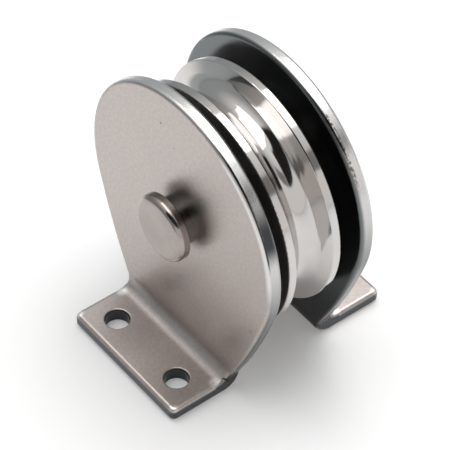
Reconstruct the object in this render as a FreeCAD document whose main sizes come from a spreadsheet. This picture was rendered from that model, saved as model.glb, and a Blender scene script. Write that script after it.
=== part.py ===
import FreeCAD, Part
import math
import os
import Sketcher
from enum import IntEnum
from FreeCAD import Placement, Rotation, Vector

# Surface mount block for wire rope: two bent cheeks with feet, a grooved sheave between
# them, and a pin whose tail is riveted over.
# Frame: millimetres, +Z up, z = 0 under the feet, origin at the bottom centre.
# The sheave turns about an axis along Y. The pin's button head is on the -Y side.

doc = FreeCAD.newDocument("surface_mount_block")

# Driving dimensions in millimetres.
DIMENSIONS = {
    # cheeks
    "plate_thickness": 4.5,
    "cheek_inner_width": 28.6,
    "disc_radius": 41.3,
    "disc_height": 54.4,
    "flank_radius": 200.0,
    "heel_height": 4.7,
    "heel_radius": 4.0,
    "notch_flare": 2.2,
    "notch_inset": 1.4,
    "notch_start": 1.1,
    "notch_run": 2.4,
    "notch_depth": 2.6,
    "bend_inner_radius": 4.0,
    "bend_outer_radius": 6.0,
    "cheek_edge_radius": 1.3,
    # feet
    "foot_half_length": 24.3,
    "foot_reach": 20.6,
    "foot_corner_radius": 1.8,
    "fixing_hole_radius": 3.75,
    "fixing_hole_spacing": 29.0,
    "fixing_hole_edge": 8.9,
    "fixing_hole_rim": 0.5,
    # sheave
    "axle_height": 52.2,
    "sheave_radius": 38.1,
    "rim_width": 18.8,
    "rim_flat": 2.7,
    "rim_edge_radius": 0.4,
    "groove_depth": 6.5,
    "groove_floor_radius": 5.5,
    "rim_depth": 11.0,
    "web_thickness": 10.0,
    "web_corner_radius": 1.5,
    "hub_radius": 13.0,
    "hub_chamfer": 0.6,
    # bearing
    "bush_wall": 2.5,
    "bush_chamfer": 0.4,
    "washer_thickness": 1.2,
    "washer_radius": 12.0,
    "washer_chamfer": 0.2,
    "running_clearance": 0.05,
    "side_play": 0.15,
    # axle pin
    "shank_radius": 6.0,
    "collar_radius": 7.7,
    "collar_length": 3.7,
    "head_radius": 10.6,
    "head_thickness": 4.0,
    "head_edge_radius": 2.1,
    "head_back_chamfer": 0.3,
    "spigot_radius": 5.0,
    "tail_radius": 7.5,
    "tail_height": 2.8,
    "tail_edge_radius": 2.0,
    "tail_washer_radius": 10.0,
    "tail_washer_thickness": 2.0,
    "tail_washer_chamfer": 0.3,
}

sheet = doc.addObject("Spreadsheet::Sheet", "dims")
for row, (word, value) in enumerate(DIMENSIONS.items(), start=1):
    sheet.set(f"A{row}", word)
    sheet.set(f"B{row}", str(value))
    sheet.setAlias(f"B{row}", word)
doc.recompute()


class Size:
    """A length: its value now, and the sheet expression that gives it."""

    def __init__(self, value, text):
        self.value = value
        self.text = text

    def joined(self, sign, other, value):
        text = other.text if isinstance(other, Size) else str(other)
        return Size(value, f"({self.text} {sign} {text})")

    def __add__(self, other):
        return self.joined("+", other, self.value + number(other))

    def __sub__(self, other):
        return self.joined("-", other, self.value - number(other))

    def __mul__(self, other):
        return self.joined("*", other, self.value * number(other))

    def __truediv__(self, other):
        return self.joined("/", other, self.value / number(other))

    def __neg__(self):
        return Size(-self.value, f"(0 - {self.text})")


class Dimensions:
    """Each driving dimension as a Size, found by its word in the sheet."""

    def __getattr__(self, word):
        return Size(float(sheet.get(word)), f"<<dims>>.{word}")


def number(size):
    return size.value if isinstance(size, Size) else size


dim = Dimensions()

# Places worked out from the driving dimensions.
cheek_inside = dim.cheek_inner_width / 2
cheek_outside = cheek_inside + dim.plate_thickness
foot_edge = cheek_outside + dim.foot_reach
bend_top = dim.plate_thickness + dim.bend_inner_radius
cheek_top = dim.disc_height + dim.disc_radius
hole_line = foot_edge - dim.fixing_hole_edge
hub_half = cheek_inside - dim.washer_thickness - dim.side_play
bush_bore = dim.shank_radius + dim.running_clearance
bush_outside = bush_bore + dim.bush_wall

# How far a cut reaches past the metal that it takes away.
CUT_MARGIN = 5.0
DIAGONAL = math.sqrt(0.5)
SAME_PLACE = 1e-4


class Axis(IntEnum):
    """The sketcher's numbers for its own axes; the origin starts the first."""

    ALONG_X = -1
    ALONG_Y = -2


class Spot(IntEnum):
    """The sketcher's numbers for the places on an edge."""

    START = 1
    END = 2
    CENTRE = 3


def new_body(label):
    body = doc.addObject("PartDesign::Body", label)
    body.Label = label
    return body


def new_sketch(body, name, role):
    sketch = body.newObject("Sketcher::SketchObject", f"{body.Label}_{name}")
    plane = next(f for f in body.Origin.OriginFeatures if f.Role == role)
    sketch.AttachmentSupport = [(plane, "")]
    sketch.MapMode = "FlatFace"
    return sketch


def bind(sketch, kind, places, size):
    """Adds a dimension to the sketch and ties it to the sheet."""
    index = sketch.addConstraint(Sketcher.Constraint(kind, *places, number(size)))
    sketch.setExpression(f"Constraints[{index}]", size.text)


def fix_point(sketch, edge, end, x, y):
    """Places one end of an edge; a plain zero puts it on the axis."""
    for kind, size, axis in (("DistanceX", x, Axis.ALONG_Y), ("DistanceY", y, Axis.ALONG_X)):
        if number(size) == 0:
            sketch.addConstraint(Sketcher.Constraint("PointOnObject", edge, end, axis))
        else:
            bind(sketch, kind, (Axis.ALONG_X, Spot.START, edge, end), size)


def join(sketch, first, second, kind="Coincident", ends=(Spot.END, Spot.START)):
    sketch.addConstraint(Sketcher.Constraint(kind, first, ends[0], second, ends[1]))


def add_chain(sketch, points, closed=True):
    """Straight lines through points, each vertex placed from the sheet."""
    flat = [Vector(number(x), number(y), 0) for x, y in points]
    ends = flat[1:] + flat[:1] if closed else flat[1:]
    lines = [sketch.addGeometry(Part.LineSegment(a, b), False) for a, b in zip(flat, ends)]
    for line, (x, y) in zip(lines, points):
        fix_point(sketch, line, Spot.START, x, y)
    for line, following in zip(lines, lines[1:]):
        join(sketch, line, following)
    if closed:
        join(sketch, lines[-1], lines[0])
    else:
        fix_point(sketch, lines[-1], Spot.END, *points[-1])
    return lines


def add_circle(sketch, x, y, radius):
    centre = Vector(number(x), number(y), 0)
    circle = sketch.addGeometry(Part.Circle(centre, Vector(0, 0, 1), number(radius)), False)
    fix_point(sketch, circle, Spot.CENTRE, x, y)
    bind(sketch, "Radius", (circle,), radius)


def add_arc(sketch, centre, radius, start_angle, end_angle):
    """A counter-clockwise arc with its radius tied to the sheet."""
    circle = Part.Circle(Vector(*centre, 0), Vector(0, 0, 1), number(radius))
    arc = sketch.addGeometry(Part.ArcOfCircle(circle, start_angle, end_angle), False)
    bind(sketch, "Radius", (arc,), radius)
    return arc


def pad_both_ways(body, sketch, length):
    pad = body.newObject("PartDesign::Pad", f"{body.Label}_pad")
    pad.Profile = sketch
    pad.Midplane = True
    pad.setExpression("Length", length.text)
    doc.recompute()
    return pad


def cut(body, sketch, name, front_only=False):
    """Cuts the sketch through the body, both ways from its plane or only on its front side."""
    before = body.Shape.Volume
    pocket = body.newObject("PartDesign::Pocket", f"{body.Label}_{name}")
    pocket.Profile = sketch
    pocket.Type = "ThroughAll"
    pocket.Midplane = not front_only
    pocket.Reversed = front_only
    doc.recompute()
    if body.Shape.Volume >= before:
        raise RuntimeError(f"{pocket.Label} cut nothing")
    return pocket


def revolve(body, sketch):
    revolution = body.newObject("PartDesign::Revolution", f"{body.Label}_turned")
    revolution.Profile = sketch
    revolution.ReferenceAxis = (sketch, ["H_Axis"])
    revolution.Angle = 360
    doc.recompute()
    return revolution


def dress(body, kind, size, wanted, name):
    """A fillet or chamfer on every edge of the body that wanted() picks."""
    base = body.Tip
    picked = [f"Edge{i}" for i, edge in enumerate(base.Shape.Edges, start=1) if wanted(edge)]
    if not picked:
        raise RuntimeError(f"no edge for {body.Label} {name}")
    feature = body.newObject(f"PartDesign::{kind}", f"{body.Label}_{name}")
    feature.Base = (base, picked)
    feature.setExpression("Radius" if kind == "Fillet" else "Size", size.text)
    doc.recompute()
    return feature


def near(a, b):
    return abs(number(a) - number(b)) < SAME_PLACE


def turned_edge(*circles):
    """Picks the full circles about the Y axis at the given places and radii."""

    def wanted(edge):
        if not isinstance(edge.Curve, Part.Circle) or not edge.isClosed():
            return False
        place, radius = edge.Curve.Center.y, edge.Curve.Radius
        return any(near(place, y) and near(radius, r) for y, r in circles)

    return wanted


def corners(edge):
    return [vertex.Point for vertex in edge.Vertexes]


def add_turned(label, profile, on_axle=True):
    """A body turned about the axle's line from a profile of (along Y, radius) points."""
    body = new_body(label)
    sketch = new_sketch(body, "profile", "YZ_Plane")
    add_chain(sketch, profile)
    revolve(body, sketch)
    if on_axle:
        body.setExpression(".Placement.Base.z", dim.axle_height.text)
    return body


def add_cheek(label, pin_hole, turn):
    """A plate cut to a disc with convex flanks, bent once into an outward foot."""
    body = new_body(label)

    section = new_sketch(body, "section", "YZ_Plane")
    blank_top = cheek_top + CUT_MARGIN
    nil = dim.plate_thickness * 0
    add_chain(section, [
        (-cheek_outside, blank_top),
        (-cheek_inside, blank_top),
        (-cheek_inside, nil),
        (-foot_edge, nil),
        (-foot_edge, dim.plate_thickness),
        (-cheek_outside, dim.plate_thickness),
    ])
    pad_both_ways(body, section, (dim.disc_radius + CUT_MARGIN) * 2)

    def along_x(y, z):
        def wanted(edge):
            return all(near(p.y, y) and near(p.z, z) for p in corners(edge))
        return wanted

    inner = along_x(-cheek_outside, dim.plate_thickness)
    outer = along_x(-cheek_inside, 0)
    dress(body, "Fillet", dim.bend_inner_radius, inner, "bend_inside")
    dress(body, "Fillet", dim.bend_outer_radius, outer, "bend_outside")

    cut(body, outline_sketch(body), "outline")
    dress(body, "Fillet", dim.foot_corner_radius, foot_corner, "corners")
    dress(body, "Fillet", dim.cheek_edge_radius, disc_edge, "edges")
    cut(body, notch_sketch(body), "notches", front_only=True)

    holes = new_sketch(body, "holes", "XY_Plane")
    for side in (-1, 1):
        add_circle(holes, dim.fixing_hole_spacing / 2 * side, -hole_line, dim.fixing_hole_radius)
    cut(body, holes, "fixing_holes")
    dress(body, "Fillet", dim.fixing_hole_rim, hole_rim, "hole_rims")

    bore = new_sketch(body, "bore", "XZ_Plane")
    add_circle(bore, nil, dim.axle_height, pin_hole)
    cut(body, bore, "pin_hole")
    body.Placement = Placement(Vector(0, 0, 0), Rotation(Vector(0, 0, 1), turn))
    return body


def foot_corner(edge):
    """An upright edge at the foot's tip."""
    ends = corners(edge)
    return len(ends) == 2 and near(ends[0].x, ends[1].x) and all(
        near(abs(p.x), dim.foot_half_length) and near(p.y, -foot_edge) for p in ends)


def disc_edge(edge):
    """An edge of the disc, from which the rounding runs on round the whole plate."""
    return (isinstance(edge.Curve, Part.Circle) and near(edge.Curve.Radius, dim.disc_radius)
            and near(edge.Curve.Center.z, dim.disc_height))


def hole_rim(edge):
    return (isinstance(edge.Curve, Part.Circle) and near(edge.Curve.Radius, dim.fixing_hole_radius)
            and near(edge.Curve.Center.z, dim.plate_thickness))


def outline_sketch(body):
    """The waste round the plate's front outline: a frame with the outline as its hole."""
    sketch = new_sketch(body, "outline", "XZ_Plane")
    outside = dim.disc_radius + CUT_MARGIN * 2
    below = -(dim.plate_thickness + CUT_MARGIN)
    above = cheek_top + CUT_MARGIN * 2
    add_chain(sketch, [(-outside, below), (outside, below), (outside, above), (-outside, above)])

    # Where the arcs touch, worked out so that the sketch starts solved.
    height = number(dim.disc_height)
    heel_x = number(dim.foot_half_length + dim.heel_radius)
    heel_y = number(dim.heel_height)
    to_heel = Vector(heel_x, heel_y - height, 0)
    offset = number(dim.flank_radius - dim.disc_radius)
    reach = number(dim.flank_radius + dim.heel_radius)
    spread = (reach ** 2 - offset ** 2 - to_heel.Length ** 2) / (2 * offset * to_heel.Length)
    leave = math.atan2(to_heel.y, to_heel.x) + math.acos(spread)
    centre_x = -offset * math.cos(leave)
    centre_y = height - offset * math.sin(leave)
    arrive = math.atan2(heel_y - centre_y, heel_x - centre_x)

    top = add_arc(sketch, (0, height), dim.disc_radius, leave, math.pi - leave)
    right = add_arc(sketch, (centre_x, centre_y), dim.flank_radius, arrive, leave)
    left = add_arc(sketch, (-centre_x, centre_y), dim.flank_radius, math.pi - leave, math.pi - arrive)
    right_heel = add_arc(sketch, (heel_x, heel_y), dim.heel_radius, arrive + math.pi, math.pi)
    left_heel = add_arc(sketch, (-heel_x, heel_y), dim.heel_radius, 0, -arrive)
    sketch.addConstraint(Sketcher.Constraint("PointOnObject", top, Spot.CENTRE, Axis.ALONG_Y))
    bind(sketch, "DistanceY", (Axis.ALONG_X, Spot.START, top, Spot.CENTRE), dim.disc_height)
    join(sketch, right, top, "Tangent")
    join(sketch, top, left, "Tangent")
    join(sketch, right, right_heel, "Tangent", (Spot.START, Spot.START))
    join(sketch, left, left_heel, "Tangent", (Spot.END, Spot.END))

    strip = add_chain(sketch, [
        (-dim.foot_half_length, dim.heel_height),
        (-dim.foot_half_length, below / 2),
        (dim.foot_half_length, below / 2),
        (dim.foot_half_length, dim.heel_height),
    ], closed=False)
    join(sketch, strip[0], left_heel, "Tangent", (Spot.START, Spot.START))
    join(sketch, strip[-1], right_heel, "Tangent", (Spot.END, Spot.END))
    return sketch


def notch_sketch(body):
    """A notch in each end of the bend's inner side, cut square to the bend's middle.

    It opens on the flare outside the foot's end line and runs in past that line.
    """
    sketch = new_sketch(body, "notches", "XY_Plane")
    sketch.AttachmentOffset = Placement(Vector(0, 0, 0), Rotation(Vector(1, 0, 0), 45))
    bend_centre = (cheek_outside + dim.bend_inner_radius + bend_top) * DIAGONAL
    floor = bend_centre - dim.bend_inner_radius - dim.notch_depth
    sketch.setExpression(".AttachmentOffset.Base.y", (-floor * DIAGONAL).text)
    sketch.setExpression(".AttachmentOffset.Base.z", (floor * DIAGONAL).text)
    notch_start = (bend_top - cheek_outside) * DIAGONAL - dim.notch_start
    notch_end = notch_start - dim.notch_run
    mouth = dim.foot_half_length + dim.notch_flare
    neck = dim.foot_half_length - dim.notch_inset
    outside = dim.disc_radius + CUT_MARGIN
    for side in (-1, 1):
        add_chain(sketch, [
            (mouth * side, notch_start),
            (neck * side, notch_end),
            (outside * side, notch_end),
            (outside * side, notch_start),
        ])
    return sketch


def add_sheave():
    """The wheel: hub, thin web, deep rim with flat-topped flanges and a flared groove."""
    body = new_body("sheave")
    sketch = new_sketch(body, "profile", "YZ_Plane")
    rim_half = dim.rim_width / 2
    web_half = dim.web_thickness / 2
    rim_inside = dim.sheave_radius - dim.rim_depth
    mouth_half = rim_half - dim.rim_flat
    side = [
        (mouth_half, dim.sheave_radius),
        (rim_half, dim.sheave_radius),
        (rim_half, rim_inside),
        (web_half, rim_inside),
        (web_half, dim.hub_radius),
        (hub_half, dim.hub_radius),
        (hub_half, bush_outside),
    ]
    other_side = [(-y, radius) for y, radius in reversed(side)]
    rim = add_chain(sketch, side + other_side, closed=False)

    floor = dim.sheave_radius - dim.groove_depth + dim.groove_floor_radius
    radius = number(dim.groove_floor_radius)
    mouth = Vector(number(mouth_half), number(dim.sheave_radius - floor), 0)
    lean = math.atan2(mouth.y, mouth.x) - math.acos(radius / mouth.Length)
    touch = Vector(radius * math.cos(lean), number(floor) + radius * math.sin(lean), 0)
    arc = add_arc(sketch, (0, number(floor)), dim.groove_floor_radius, math.pi - lean, 2 * math.pi + lean)
    sketch.addConstraint(Sketcher.Constraint("PointOnObject", arc, Spot.CENTRE, Axis.ALONG_Y))
    bind(sketch, "DistanceY", (Axis.ALONG_X, Spot.START, arc, Spot.CENTRE), floor)
    top = number(dim.sheave_radius)
    left = sketch.addGeometry(
        Part.LineSegment(Vector(-mouth.x, top, 0), Vector(-touch.x, touch.y, 0)), False)
    right = sketch.addGeometry(Part.LineSegment(touch, Vector(mouth.x, top, 0)), False)
    join(sketch, rim[-1], left)
    join(sketch, left, arc, "Tangent")
    join(sketch, arc, right, "Tangent")
    join(sketch, right, rim[0])

    revolve(body, sketch)
    body.setExpression(".Placement.Base.z", dim.axle_height.text)
    hub_rims = turned_edge((hub_half, dim.hub_radius), (-hub_half, dim.hub_radius))
    dress(body, "Chamfer", dim.hub_chamfer, hub_rims, "hub_rims")
    web_corners = turned_edge(*[
        (y, r) for y in (web_half, -web_half) for r in (rim_inside, dim.hub_radius)])
    dress(body, "Fillet", dim.web_corner_radius, web_corners, "web_corners")
    rim_edges = turned_edge(*[
        (y, dim.sheave_radius) for y in (rim_half, -rim_half, mouth_half, -mouth_half)])
    dress(body, "Fillet", dim.rim_edge_radius, rim_edges, "rim_edges")
    return body


def add_ring(label, inside, outside, start, end, chamfer):
    """A plain ring about the axle from start to end along Y, its outer rims broken."""
    body = add_turned(label, [(start, inside), (end, inside), (end, outside), (start, outside)])
    rims = turned_edge((start, outside), (end, outside))
    dress(body, "Chamfer", chamfer, rims, "rims")
    return body


def add_pin():
    """Button head, collar, shank, spigot through the rear cheek, and riveted tail."""
    collar_start = -cheek_outside - dim.collar_length
    face = collar_start - dim.head_thickness
    tail_start = cheek_outside + dim.tail_washer_thickness
    tail_end = tail_start + dim.tail_height
    nil = dim.shank_radius * 0
    body = add_turned("axle_pin", [
        (face, nil),
        (face, dim.head_radius),
        (collar_start, dim.head_radius),
        (collar_start, dim.collar_radius),
        (-cheek_outside, dim.collar_radius),
        (-cheek_outside, dim.shank_radius),
        (cheek_inside, dim.shank_radius),
        (cheek_inside, dim.spigot_radius),
        (tail_start, dim.spigot_radius),
        (tail_start, dim.tail_radius),
        (tail_end, dim.tail_radius),
        (tail_end, nil),
    ])
    dress(body, "Fillet", dim.head_edge_radius, turned_edge((face, dim.head_radius)), "head_edge")
    back = turned_edge((collar_start, dim.head_radius))
    dress(body, "Chamfer", dim.head_back_chamfer, back, "head_back")
    dress(body, "Fillet", dim.tail_edge_radius, turned_edge((tail_end, dim.tail_radius)), "tail_edge")
    return body


shank_hole = dim.shank_radius + dim.running_clearance
spigot_hole = dim.spigot_radius + dim.running_clearance
washer_inside = cheek_inside - dim.washer_thickness

parts = [
    add_cheek("side_plate_front", shank_hole, 0),
    add_cheek("side_plate_rear", spigot_hole, 180),
    add_sheave(),
    add_ring("bearing_bush", bush_bore, bush_outside, -hub_half, hub_half, dim.bush_chamfer),
    add_ring("thrust_washer_front", bush_bore, dim.washer_radius,
             -cheek_inside, -washer_inside, dim.washer_chamfer),
    add_ring("thrust_washer_rear", bush_bore, dim.washer_radius,
             washer_inside, cheek_inside, dim.washer_chamfer),
    add_pin(),
    add_ring("tail_washer", spigot_hole, dim.tail_washer_radius, cheek_outside,
             cheek_outside + dim.tail_washer_thickness, dim.tail_washer_chamfer),
]
doc.recompute()

for item in doc.Objects:
    if "Invalid" in item.State or "Error" in item.State:
        raise RuntimeError(f"{item.Label} failed: {item.State}")
os.makedirs("parts", exist_ok=True)
for part in parts:
    if part.Shape.isNull() or not part.Shape.isValid() or len(part.Shape.Solids) != 1:
        raise RuntimeError(f"{part.Label} is not one sound solid")
    part.Shape.exportStep(f"parts/{part.Label}.step")
    box = part.Shape.BoundBox
    print(f"{part.Label}: {part.Shape.Volume:.1f} mm3, z {box.ZMin:.2f} to {box.ZMax:.2f}")
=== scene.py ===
import math

import bmesh
import bpy
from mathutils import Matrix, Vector


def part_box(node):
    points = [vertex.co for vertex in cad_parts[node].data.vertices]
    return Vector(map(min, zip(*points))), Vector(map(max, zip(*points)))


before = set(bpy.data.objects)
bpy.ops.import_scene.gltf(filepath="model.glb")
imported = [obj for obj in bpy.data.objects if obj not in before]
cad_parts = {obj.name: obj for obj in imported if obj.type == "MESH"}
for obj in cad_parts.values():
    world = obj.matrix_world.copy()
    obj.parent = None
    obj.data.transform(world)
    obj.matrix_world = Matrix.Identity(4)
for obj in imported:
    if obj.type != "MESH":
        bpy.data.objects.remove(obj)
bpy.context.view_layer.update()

# Everything is in metres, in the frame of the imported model: the sheave turns about an axis
# along Y, the pin's button head is at -Y, and the feet stand on z = 0.

MM = 0.001

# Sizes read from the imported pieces.
pin_low, pin_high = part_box("axle_pin")
AXLE_HEIGHT = (pin_low.z + pin_high.z) / 2
CHEEK_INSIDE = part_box("thrust_washer_rear")[1].y

# Sizes repeated from the part's source.
DISC_HEIGHT = 54.3 * MM
RIM_HALF = 9.4 * MM
HOLE_X = 14.5 * MM
HOLE_Y = 30.5 * MM
HEAD_BACK = -22.3 * MM
FRONT_FACE = -18.8 * MM

# The places of a Mix node's colour sockets, since it has several sockets of each name.
MIX_AMOUNT, MIX_FIRST, MIX_SECOND, MIX_RESULT = 0, 6, 7, 2


def opaque(colour):
    """An (r, g, b) colour with its alpha; a socket stays as it is."""
    return (*colour, 1.0) if isinstance(colour, tuple) else colour


class Nodes:
    """A shader tree that is built up node by node."""

    def __init__(self, owner):
        owner.use_nodes = True
        self.tree = owner.node_tree

    def feed(self, socket, value):
        if isinstance(value, bpy.types.NodeSocket):
            self.tree.links.new(value, socket)
        else:
            socket.default_value = value

    def add(self, kind, inputs, **settings):
        node = self.tree.nodes.new("ShaderNode" + kind)
        for setting, value in settings.items():
            setattr(node, setting, value)
        for name, value in inputs.items():
            self.feed(node.inputs[name], value)
        return node

    def calc(self, operation, first, second=0.0):
        return self.add("Math", {0: first, 1: second}, operation=operation).outputs[0]

    def minus(self, first, second):
        return self.calc("SUBTRACT", first, second)

    def both(self, first, *others):
        """The product of masks: 1 where all of them are 1."""
        for other in others:
            first = self.calc("MULTIPLY", first, other)
        return first

    def shift(self, value, *changes):
        """value, with amount times mask added for each (mask, amount)."""
        for mask, amount in changes:
            value = self.calc("ADD", value, self.calc("MULTIPLY", mask, amount))
        return value

    def fade(self, value, low, high, start=0.0, end=1.0):
        """start where value is low, end where it is high, eased between."""
        inputs = {"Value": value, "From Min": low, "From Max": high, "To Min": start, "To Max": end}
        return self.add("MapRange", inputs, interpolation_type="SMOOTHSTEP").outputs["Result"]

    def vector(self, x, y, z):
        return self.add("CombineXYZ", {"X": x, "Y": y, "Z": z}).outputs["Vector"]

    def parts(self, vector):
        """The vector's x, y and z."""
        return self.add("SeparateXYZ", {"Vector": vector}).outputs

    def length(self, first, second):
        """The length of a vector from its two parts."""
        flat = self.vector(first, second, 0.0)
        return self.add("VectorMath", {0: flat}, operation="LENGTH").outputs["Value"]

    def mix(self, amount, first, second):
        node = self.add("Mix", {}, data_type="RGBA")
        self.feed(node.inputs[MIX_AMOUNT], amount)
        self.feed(node.inputs[MIX_FIRST], opaque(first))
        self.feed(node.inputs[MIX_SECOND], opaque(second))
        return node.outputs[MIX_RESULT]

    def layers(self, colour, *coats):
        """colour, with each (mask, colour) coat laid over it in turn."""
        for mask, coat in coats:
            colour = self.mix(mask, colour, coat)
        return colour

    def shades(self, value, *stops):
        """A colour for each value, from (position, colour) stops."""
        node = self.add("ValToRGB", {"Fac": value})
        elements = node.color_ramp.elements
        while len(elements) < len(stops):
            elements.new(1.0)
        for element, (position, colour) in zip(elements, stops):
            element.position = position
            element.color = opaque(colour)
        return node.outputs["Color"]


class Finish(Nodes):
    """A material for steel, bronze or paper."""

    def __init__(self, name, **plain):
        self.material = bpy.data.materials.new(name)
        super().__init__(self.material)
        self.shader = self.tree.nodes["Principled BSDF"]
        for socket, value in plain.items():
            self.shader.inputs[socket.replace("_", " ").title()].default_value = value

    def place(self):
        return self.add("TexCoord", {}).outputs["Object"]

    def facing(self):
        """How far the surface faces along x, y and z, either way."""
        normal = self.add("TexCoord", {}).outputs["Normal"]
        return [self.calc("ABSOLUTE", part) for part in self.parts(normal)]

    def noise(self, vector, scale, detail=2.0, roughness=0.5):
        inputs = {"Vector": vector, "Scale": scale, "Detail": detail, "Roughness": roughness}
        return self.add("TexNoise", inputs).outputs["Fac"]

    def lathe_rings(self, scale, drift):
        """Noise in rings round the axle, and the place along the axle.

        The noise moves on by drift in half a turn, so that each ring comes and goes.
        """
        x, y, z = self.parts(self.place())
        above = self.minus(z, AXLE_HEIGHT)
        turn = self.calc("DIVIDE", self.calc("ARCTAN2", x, above), math.pi)
        rings = self.vector(self.length(x, above), self.calc("MULTIPLY", turn, drift), y)
        return self.noise(rings, scale), y

    def relief(self, height, depth, below=None):
        inputs = {"Height": height, "Distance": depth, "Strength": 1.0}
        if below is not None:
            inputs["Normal"] = below
        return self.add("Bump", inputs).outputs["Normal"]

    def wear(self, colour=None, roughness=None, normal=None):
        for socket, value in (("Base Color", colour), ("Roughness", roughness), ("Normal", normal)):
            if value is not None:
                self.feed(self.shader.inputs[socket], value)

    def onto(self, *nodes):
        for node in nodes:
            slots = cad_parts[node].data.materials
            slots.clear()
            slots.append(self.material)


class Plate(Finish):
    """A steel for the bent cheeks, with masks for their edges, holes and marks.

    x and y are places across the block, aside and depth the same on both sides of its middle.
    """

    def __init__(self, name):
        super().__init__(name, metallic=1.0)
        place = self.place()
        self.x, self.y, self.height = self.parts(place)
        self.aside = self.calc("ABSOLUTE", self.x)
        self.depth = self.calc("ABSOLUTE", self.y)
        self.cloud = self.noise(place, scale=45.0, detail=3.0)
        self.mottle = self.noise(place, scale=900.0, roughness=0.6)
        self.grain = self.noise(place, scale=3200.0, detail=3.0, roughness=0.6)
        _, self.facing_y, self.facing_z = self.facing()
        self.upright = self.fade(self.facing_z, 0.85, 0.4)
        # The front cheek, and its right half.
        self.front = self.fade(self.y, -14 * MM, -14.2 * MM)
        self.front_right = self.both(self.front, self.fade(self.x, 16 * MM, 22 * MM))

    def spots(self, across, along, places, heart):
        """Round spots at (across, along, radius) in millimetres.

        A spot is full up to heart times its radius, and has gone at its radius.
        """
        marks = 0.0
        for spot_across, spot_along, radius in places:
            off_across = self.minus(across, spot_across * MM)
            off_along = self.minus(along, spot_along * MM)
            off_centre = self.length(off_across, off_along)
            mark = self.fade(off_centre, radius * MM, heart * radius * MM)
            marks = self.calc("MAXIMUM", marks, mark)
        return marks

    def cut_edges(self):
        """The cheek's sheared edge and the foot's walls."""
        # A skin faces along Y on the cheek, and anywhere but sideways round the bend.
        round_bend = self.fade(self.height, 14 * MM, 11 * MM)
        folded = self.both(self.length(self.facing_y, self.facing_z), round_bend)
        skin = self.calc("MAXIMUM", self.facing_y, folded)
        # Low down, the edge takes in more of its rounding.
        edge_start = self.fade(self.height, 60 * MM, 30 * MM, 0.8, 0.97)
        cheek_edge = self.fade(skin, edge_start, 0.35)
        foot_wall = self.both(self.upright, self.fade(self.height, 4.3 * MM, 3.1 * MM))
        return self.fade(self.depth, 23 * MM, 24 * MM, cheek_edge, foot_wall)

    def inner_skin(self):
        return self.fade(self.depth, CHEEK_INSIDE + 1.4 * MM, CHEEK_INSIDE + 0.2 * MM)

    def bent_skin(self, cut):
        """The skin round the bend, but not its cut ends."""
        low = self.fade(self.height, 10 * MM, 8 * MM)
        near = self.fade(self.depth, 24.5 * MM, 22.5 * MM)
        return self.both(low, near, self.fade(cut, 0.5, 0.1))

    def hole_walls(self):
        off_hole = self.length(self.minus(self.aside, HOLE_X), self.minus(self.depth, HOLE_Y))
        return self.both(self.fade(off_hole, 4.2 * MM, 3.9 * MM), self.upright)

    def dark_edge_patch(self):
        """A dark patch on the front cheek's edge, at the right."""
        low_end = self.fade(self.height, 64 * MM, 71 * MM)
        high_end = self.fade(self.height, 87 * MM, 75 * MM)
        return self.both(self.front_right, low_end, high_end)

    def fine_line(self):
        """A line along the front cheek's edge, at the right."""
        off_line = self.calc("ABSOLUTE", self.minus(self.depth, 18.15 * MM))
        line = self.fade(off_line, 0.28 * MM, 0.12 * MM)
        return self.both(self.front_right, line, self.fade(self.height, 62 * MM, 68 * MM))

    def painted_edge_highlight(self):
        """A painted highlight where the front cheek's face rolls over into its edge, at the right.
        """
        off_centre = self.length(self.x, self.minus(self.height, DISC_HEIGHT))
        band = self.fade(off_centre, 38.9 * MM, 40.2 * MM)
        return self.both(self.front_right, band, self.fade(self.height, 50 * MM, 60 * MM))

    def torn_strip(self):
        """A strip beside the rear cheek's inner skin, left by the shears."""
        inner_side = self.fade(self.y, 14 * MM, 14.2 * MM)
        outer_side = self.fade(self.y, 16.2 * MM, 15.6 * MM)
        right = self.fade(self.x, 17 * MM, 23 * MM)
        high = self.fade(self.height, 71 * MM, 78 * MM)
        return self.both(inner_side, outer_side, right, high, self.fade(self.mottle, 0.42, 0.6))

    def dents(self):
        """Three small dents in the front cheek's face."""
        places = ((-8.3, 83.7, 0.55), (-2.2, 78.6, 0.4), (33.2, 34.0, 0.6))
        dents = self.spots(self.x, self.height, places, heart=0.3)
        return self.both(self.front, dents, self.fade(self.mottle, 0.3, 0.5))

    def painted_corner_glints(self):
        """Painted glints on the foot's corners and the ends of the bend."""
        places = ((23.3, 38.3, 2.0), (22.6, 22.9, 2.4))
        corners = self.spots(self.aside, self.depth, places, heart=0.2)
        low = self.fade(self.height, 9 * MM, 7 * MM)
        return self.both(corners, low, self.fade(self.mottle, 0.25, 0.5, 0.4, 1.0))


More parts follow.
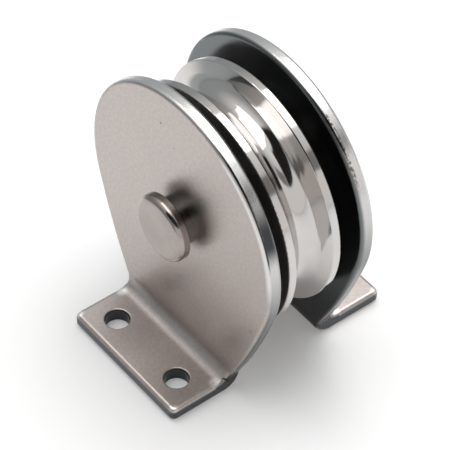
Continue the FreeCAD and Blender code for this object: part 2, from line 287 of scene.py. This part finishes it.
def tumbled_plate():
    """Warm grey stainless plate, tumbled to a satin outside.

    The inner skins are painted nearly black as shade between the cheeks and the sheave. The cut
    edges are smoother than the skins, with painted shade turning them slate towards the feet and a
    painted highlight higher up.
    """
    steel = Plate("tumbled_plate")
    cut = steel.cut_edges()
    inner = steel.inner_skin()
    skin = steel.layers(
        (0.49, 0.442, 0.418),
        (steel.fade(steel.cloud, 0.3, 0.7), (0.53, 0.482, 0.458)),
        (steel.fade(steel.mottle, 0.35, 0.65, 0.0, 0.45), (0.39, 0.352, 0.333)),
        (steel.dents(), (0.16, 0.135, 0.13)),
        # Painted highlight: bright glints on the foot's corners and the bend's ends.
        (steel.painted_corner_glints(), (0.85, 0.82, 0.79)),
        # Painted highlight along the front cheek's rolled edge, at the right.
        (steel.painted_edge_highlight(), (0.7, 0.67, 0.65)),
    )
    # The edge's colours by height, as parts of this length: painted shade, slate towards the feet,
    # and a painted highlight near the top.
    ramp_height = 100 * MM
    edge = steel.shades(
        steel.calc("DIVIDE", steel.height, ramp_height),
        (0.04, (0.07, 0.078, 0.083)),
        (0.17, (0.075, 0.082, 0.086)),
        (0.31, (0.11, 0.115, 0.118)),
        (0.45, (0.19, 0.192, 0.193)),
        (0.62, (0.54, 0.535, 0.53)),
        (0.92, (0.85, 0.84, 0.83)),
    )
    # Painted shade on the inner skins, darker lower down.
    painted_inner_shade = steel.mix(
        steel.fade(steel.height, 40 * MM, 14 * MM), (0.145, 0.157, 0.162), (0.04, 0.042, 0.044)
    )
    colour = steel.layers(
        skin,
        # The cut edges take the ramp's painted light and shade.
        (cut, steel.mix(steel.dark_edge_patch(), edge, (0.06, 0.065, 0.07))),
        # Painted shade inside the foot's holes.
        (steel.hole_walls(), (0.05, 0.055, 0.058)),
        (inner, painted_inner_shade),
        (steel.torn_strip(), (0.16, 0.15, 0.145)),
        (steel.fine_line(), (0.05, 0.05, 0.052)),
    )
    satin = steel.fade(steel.cloud, 0.25, 0.75, 0.31, 0.38)
    rough = steel.shift(satin, (cut, -0.13), (inner, -0.12), (steel.bent_skin(cut), 0.14))
    normal = steel.relief(steel.mottle, 0.02 * MM, steel.relief(steel.grain, 0.02 * MM))
    steel.wear(colour, rough, normal)
    return steel


def polished_wheel():
    """Bright turned steel with fine rings left by the lathe; its flanks stay dull, and are painted
    darker as shade in the gaps beside the cheeks.
    """
    steel = Finish("polished_wheel", metallic=1.0)
    rings, along = steel.lathe_rings(scale=4500.0, drift=0.002)
    smear = steel.fade(steel.noise(steel.place(), scale=60.0, detail=3.0), 0.3, 0.7)
    flank = steel.fade(steel.calc("ABSOLUTE", along), RIM_HALF - 0.42 * MM, RIM_HALF - 0.1 * MM)
    colour = steel.layers(
        (0.57, 0.545, 0.53),
        (smear, (0.62, 0.6, 0.585)),
        # Painted shade on the flanks, which face the narrow gaps beside the cheeks.
        (flank, (0.4, 0.365, 0.355)),
    )
    rough = steel.shift(0.08, (smear, 0.04), (flank, 0.28))
    steel.wear(colour, rough, steel.relief(rings, 0.003 * MM))
    return steel


def turned_pin():
    """Satin turned steel in fine rings, with smooth rims and the collar behind the head painted
    dark as shade under the head.
    """
    steel = Finish("turned_pin", metallic=1.0)
    rings, along = steel.lathe_rings(scale=3800.0, drift=0.001)
    smear = steel.fade(steel.noise(steel.place(), scale=150.0, detail=3.0), 0.3, 0.7)
    behind_head = steel.fade(along, HEAD_BACK - 0.1 * MM, HEAD_BACK)
    before_cheek = steel.fade(along, FRONT_FACE + 0.8 * MM, FRONT_FACE + 0.3 * MM)
    collar = steel.both(behind_head, before_cheek)
    _, facing_y, _ = steel.facing()
    rim = steel.fade(facing_y, 0.97, 0.8)
    colour = steel.layers(
        (0.36, 0.317, 0.298),
        (smear, (0.41, 0.367, 0.343)),
        # Painted shade on the collar under the head.
        (collar, (0.17, 0.155, 0.15)),
    )
    rough = steel.shift(0.26, (smear, 0.08), (rim, -0.12))
    steel.wear(colour, rough, steel.relief(rings, 0.006 * MM))
    return steel


def bearing_bronze():
    """Oiled bronze with darker pores."""
    bronze = Finish("bearing_bronze", metallic=1.0)
    pores = bronze.noise(bronze.place(), scale=2600.0, detail=3.0, roughness=0.7)
    colour = bronze.mix(bronze.fade(pores, 0.35, 0.6), (0.28, 0.17, 0.08), (0.6, 0.41, 0.22))
    bronze.wear(colour, bronze.fade(pores, 0.3, 0.7, 0.45, 0.3), bronze.relief(pores, 0.01 * MM))
    return bronze


def pale_floor():
    """A wide matt white floor under the block, painted grey further off at the left as shade where
    the light falls off.
    """
    shape = bmesh.new()
    bmesh.ops.create_grid(shape, x_segments=8, y_segments=8, size=6.0)
    mesh = bpy.data.meshes.new("floor")
    shape.to_mesh(mesh)
    shape.free()
    floor = bpy.data.objects.new("floor", mesh)
    bpy.context.scene.collection.objects.link(floor)
    paper = Finish("floor_paper", roughness=0.9)
    cloud = paper.noise(paper.place(), scale=3.0)
    x, _, _ = paper.parts(paper.place())
    last_white, first_grey = -0.15, -0.28
    shade = paper.layers(
        (0.93, 0.93, 0.93),
        (cloud, (0.95, 0.95, 0.95)),
        # Painted shade: the paper greys off to the left.
        (paper.fade(x, last_white, first_grey), (0.36, 0.38, 0.39)),
    )
    # Rays to the camera, from metal and through glass see the paper a little whiter.
    whiter = 0.14
    rays = paper.add("LightPath", {}).outputs
    seen = paper.calc("MAXIMUM", rays["Is Camera Ray"], rays["Is Glossy Ray"])
    seen = paper.calc("MAXIMUM", seen, rays["Is Transmission Ray"])
    paper.wear(shade)
    paper.feed(paper.shader.inputs["Emission Color"], shade)
    paper.feed(paper.shader.inputs["Emission Strength"], paper.calc("MULTIPLY", seen, whiter))
    mesh.materials.append(paper.material)


def softbox(name, place, aim, width, height, power):
    """A rectangular lamp at place, turned to face aim."""
    light = bpy.data.lights.new(name, "AREA")
    light.shape = "RECTANGLE"
    light.size = width
    light.size_y = height
    light.energy = power
    lamp = bpy.data.objects.new(name, light)
    bpy.context.scene.collection.objects.link(lamp)
    lamp.location = place
    ray = Vector(aim) - Vector(place)
    lamp.rotation_euler = ray.to_track_quat("-Z", "Y").to_euler()


def studio_sky():
    """A bright ceiling over a grey room, with a light wall and dark openings to the right."""
    world = bpy.data.worlds.new("studio")
    sky = Nodes(world)
    x, y, height = sky.parts(sky.add("TexCoord", {}).outputs["Generated"])
    turn = sky.calc("DIVIDE", sky.calc("ARCTAN2", x, sky.calc("MULTIPLY", y, -1.0)), math.pi)
    turn_blur = 0.03
    height_blur = 0.02

    def zone(left, right, bottom, top):
        """1 between two turns (0 is the front, 0.5 the right) and two heights."""
        return sky.both(
            sky.fade(turn, left - turn_blur, left + turn_blur),
            sky.fade(turn, right + turn_blur, right - turn_blur),
            sky.fade(height, bottom - height_blur, bottom + height_blur),
            sky.fade(height, top + height_blur, top - height_blur),
        )

    room = sky.shades(
        height,
        (0.0, (0.34, 0.37, 0.38)),
        (0.42, (0.38, 0.4, 0.4)),
        (0.62, (0.6, 0.6, 0.59)),
        (0.78, (0.85, 0.84, 0.83)),
        (0.88, (1.0, 1.0, 1.0)),
    )
    room = sky.layers(
        room,
        (zone(left=0.17, right=0.8, bottom=-0.9, top=0.46), (0.9, 0.87, 0.85)),
        (zone(left=0.55, right=0.76, bottom=0.48, top=0.68), (0.25, 0.235, 0.23)),
        (zone(left=-0.04, right=0.53, bottom=0.47, top=0.92), (0.02, 0.018, 0.018)),
    )
    back = world.node_tree.nodes["Background"]
    sky.feed(back.inputs["Color"], room)
    back.inputs["Strength"].default_value = 1.0
    bpy.context.scene.world = world


def camera():
    """The camera at the angle of the photograph."""
    view = bpy.data.cameras.new("camera")
    view.sensor_width = 36.0
    view.lens = 201.9
    view.clip_start = 0.01
    view.shift_x = -0.002
    view.shift_y = -0.002
    eye = bpy.data.objects.new("camera", view)
    bpy.context.scene.collection.objects.link(eye)
    eye.location = (0.39203, -0.32124, 0.56967)
    eye.rotation_euler = [math.radians(angle) for angle in (43.629, -0.931, 51.771)]
    bpy.context.scene.camera = eye


tumbled_plate().onto("side_plate_front", "side_plate_rear")
polished_wheel().onto("sheave")
turned_pin().onto("axle_pin", "tail_washer", "thrust_washer_front", "thrust_washer_rear")
bearing_bronze().onto("bearing_bush")
pale_floor()
studio_sky()
softbox("key", place=(-0.1, 0.6, 1.12), aim=(0, 0, 0.05), width=0.8, height=0.5, power=2.8)
softbox("top", place=(-0.25, 0.1, 1.4), aim=(0, 0, 0), width=1.1, height=1.1, power=7.5)
camera()
bpy.context.scene.view_settings.view_transform = "Standard"
